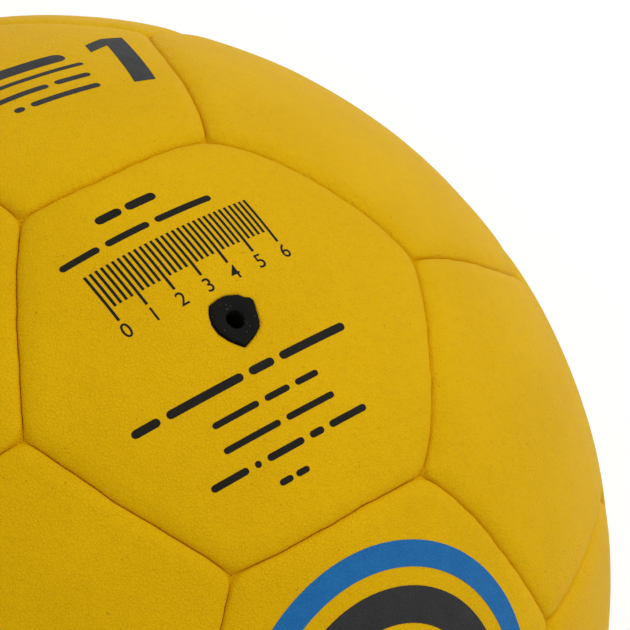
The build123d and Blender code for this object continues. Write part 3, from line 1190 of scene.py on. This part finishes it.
def seam_group():
    """How near a seam the cover is, as a mask for painted light in the grooves, and the short gathers that
    the stitches draw across it.
    """
    tree, put = new_group("seam_gathers", "GrooveLight", "Height")
    seam = new_node(tree, "Attribute", {}, attribute_name="seam_place").outputs["Vector"]
    parts = new_node(tree, "SeparateXYZ", {0: seam}).outputs
    near = maths(tree, "POWER", stretch(tree, parts["Z"], 0.0, 0.7, 1.0, 0.0), 2.5)
    drawn_out = maths(tree, "MULTIPLY", parts["Y"], 0.22)
    across = new_node(tree, "CombineXYZ", {0: parts["X"], 1: drawn_out}).outputs[0]
    reach = maths(tree, "POWER", stretch(tree, parts["Y"], 0.4, 4.5, 1.0, 0.0), 1.5)
    height = maths(tree, "MULTIPLY", clouds(tree, across, 1.15)["Fac"], reach)
    fill(tree, put, {"GrooveLight": near, "Height": height})
    return tree


def cover_material(grain):
    material, tree, shader = new_material("yellow_cover")
    grained = use_group(tree, grain)
    sewn = use_group(tree, seam_group())
    tint = blend(tree, stretch(tree, grained["Patches"], 0.35, 0.65), *COVER_TONES)
    # Painted shade: the grain's creases and pores are darkened.
    tint = blend(tree, maths(tree, "MULTIPLY", grained["CreaseShade"], 0.25), tint, CREASE_SHADE_TONE)
    tint = blend(tree, maths(tree, "MULTIPLY", grained["PoreShade"], 0.4), tint, PORE_SHADE_TONE)
    # Painted light: within 0.7 mm of a seam the cover is lightened, in place of light bounced in the groove.
    tint = blend(tree, maths(tree, "MULTIPLY", sewn["GrooveLight"], 0.45), tint, SEAM_GROOVE_LIGHT_TONE)
    pressed = bump(tree, grained["Height"], GRAIN_DEPTH)
    fill(tree, shader, {
        "Base Color": tint,
        "Roughness": stretch(tree, grained["Height"], 0.6, 1.6, 0.62, 0.5),
        "Specular IOR Level": 0.045,
        "Normal": bump(tree, sewn["Height"], GATHER_DEPTH, pressed),
    })
    return material


def rubber_material(name, tones):
    """Cloudy rubber with fine pits and specks of dust."""
    material, tree, shader = new_material(name)
    place = in_mm(tree)
    cloudy = clouds(tree, place, 0.9, 4.0)["Fac"]
    tint = blend(tree, stretch(tree, cloudy, 0.3, 0.7), *tones)
    specks = new_node(tree, "TexVoronoi", {"Vector": place, "Scale": 1.3}).outputs["Distance"]
    fill(tree, shader, {
        "Base Color": blend(tree, stretch(tree, specks, 0.08, 0.13, 0.5, 0.0), tint, DUST_TONE),
        "Roughness": stretch(tree, cloudy, 0.3, 0.7, 0.55, 0.72),
        "Specular IOR Level": 0.06,
        "Normal": bump(tree, clouds(tree, place, 3.0, 4.0)["Fac"], PIT_DEPTH),
    })
    return material


def cloth_material(name, tones, pitch):
    """A plain weave, its threads running across and up the ball."""
    material, tree, shader = new_material(name)
    place = in_mm(tree)
    threads = {"Vector": place, "Scale": WAVE_LENGTH / pitch, "Distortion": 0.4}
    warp = new_node(tree, "TexWave", threads, bands_direction="X").outputs["Fac"]
    weft = new_node(tree, "TexWave", threads, bands_direction="Z").outputs["Fac"]
    woven = maths(tree, "MAXIMUM", warp, weft)
    slub = clouds(tree, place, 0.6, 3.0)["Fac"]
    share = maths(tree, "MULTIPLY", woven, stretch(tree, slub, 0.2, 0.8, 0.6, 1.0))
    fill(tree, shader, {
        "Base Color": blend(tree, share, *tones),
        "Roughness": stretch(tree, slub, 0.3, 0.7, 0.8, 0.95),
        "Normal": bump(tree, woven, WEAVE_DEPTH),
    })
    return material


def ink_material(name, tones, grain):
    """Printed ink that takes the cover's grain, thinner in places."""
    material, tree, shader = new_material(name)
    grained = use_group(tree, grain)
    fill(tree, shader, {
        "Base Color": blend(tree, stretch(tree, grained["Height"], 0.7, 1.5), *tones),
        "Roughness": stretch(tree, grained["Patches"], 0.3, 0.7, 0.5, 0.62),
        "Specular IOR Level": 0.1,
        "Normal": bump(tree, grained["Height"], INK_DEPTH),
    })
    return material


# Floor and light.

def seen_by(tree, *kinds):
    """1 for rays of those kinds, and 0 for all others."""
    rays = tree.nodes.new("ShaderNodeLightPath").outputs
    seen = rays[kinds[0]]
    for kind in kinds[1:]:
        seen = maths(tree, "MAXIMUM", seen, rays[kind])
    return seen


def add_floor():
    """A pale floor under the ball, which glows a little where it is seen."""
    low_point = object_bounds()[0].z
    floor = added(bpy.ops.mesh.primitive_plane_add, size=FLOOR_SIDE, location=(0, 0, low_point))
    floor.name = "floor"
    material, tree, shader = new_material("pale_floor")
    seen = seen_by(tree, "Is Camera Ray", "Is Glossy Ray", "Is Transmission Ray")
    fill(tree, shader, {
        "Base Color": FLOOR_COLOUR,
        "Roughness": 0.9,
        "Specular IOR Level": 0.0,
        "Emission Color": WHITE,
        "Emission Strength": maths(tree, "MULTIPLY", seen, FLOOR_GLOW),
    })
    dress(floor, material)


def add_softbox():
    place = Vector(SOFTBOX_WAY).normalized() * SOFTBOX_DISTANCE
    lamp = added(bpy.ops.object.light_add, type="AREA", location=place)
    lamp.name = "main_softbox"
    lamp.data.shape = "SQUARE"
    lamp.data.size = SOFTBOX_SIDE
    lamp.data.energy = SOFTBOX_POWER
    lamp.rotation_euler = place.to_track_quat("Z", "Y").to_euler()


def set_world():
    """An even white world, full white where the camera sees it and softer as a light."""
    world = bpy.data.worlds.new("studio")
    bpy.context.scene.world = world
    world.use_nodes = True
    tree = world.node_tree
    seen = seen_by(tree, "Is Camera Ray", "Is Transmission Ray")
    strength = stretch(tree, seen, 0.0, 1.0, WORLD_LIGHT, 1.0)
    fill(tree, tree.nodes["Background"], {"Color": WHITE, "Strength": strength})


# The ball, from the cover inwards, and its surroundings.
add_camera()
grain = grain_group()
rubber = rubber_material("valve_rubber", VALVE_TONES)
panels = add_cover(cover_material(grain))
add_valve(rubber)
add_prints(panels, grain)
add_linings(panels, cloth_material("lining_cloth", LINING_TONES, LINING_PITCH))
add_threads(panels, cloth_material("waxed_thread", THREAD_TONES, THREAD_PITCH))
add_bladder(rubber_material("bladder_rubber", BLADDER_TONES))
add_patch(cloth_material("patch_cloth", PATCH_TONES, PATCH_PITCH))
dress(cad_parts["valve_core"], rubber)
add_floor()
add_softbox()
set_world()
bpy.context.scene.view_settings.view_transform = "Standard"
